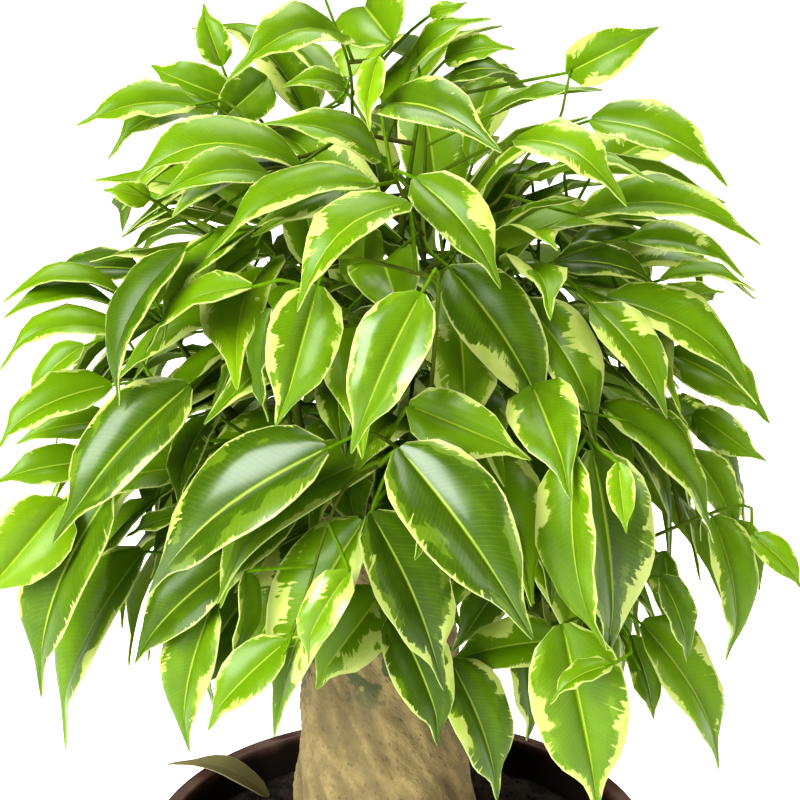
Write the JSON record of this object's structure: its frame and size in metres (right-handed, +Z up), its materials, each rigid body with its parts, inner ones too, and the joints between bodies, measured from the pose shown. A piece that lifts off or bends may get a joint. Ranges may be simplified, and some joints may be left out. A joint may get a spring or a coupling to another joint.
{
  "type": "potted weeping fig",
  "caption": "Compact variegated weeping fig: a dense round crown of pointed leaves on one stout ribbed trunk, in soil in a plain tapered pot.",
  "frame": {"origin": "middle of the underside of the pot, where it rests", "axes": "+Z up along the trunk; -Y towards the viewer of the picture; +X to that viewer's right"},
  "size_m": [0.2258, 0.2308, 0.414],
  "materials": {
    "pot_plastic": "dark reddish brown, satin",
    "soil": "damp, crumbly, near black",
    "bark": "tan, matt, ribbed bark",
    "foliage": "glossy green leaves with cream margins",
    "dry_leaf": "pale olive, dry, matt"
  },
  "bodies": {
    "root": {"pot": "pot_plastic", "soil": "soil", "trunk": "bark", "fallen_leaf": "dry_leaf", "leafy_branch_01": "foliage", "leafy_branch_02": "foliage", "leafy_branch_03": "foliage", "leafy_branch_04": "foliage", "leafy_branch_05": "foliage", "leafy_branch_06": "foliage", "leafy_branch_07": "foliage", "leafy_branch_08": "foliage", "leafy_branch_09": "foliage", "leafy_branch_10": "foliage", "leafy_branch_11": "foliage", "leafy_branch_12": "foliage", "leafy_branch_13": "foliage"}
  },
  "joints": []
}
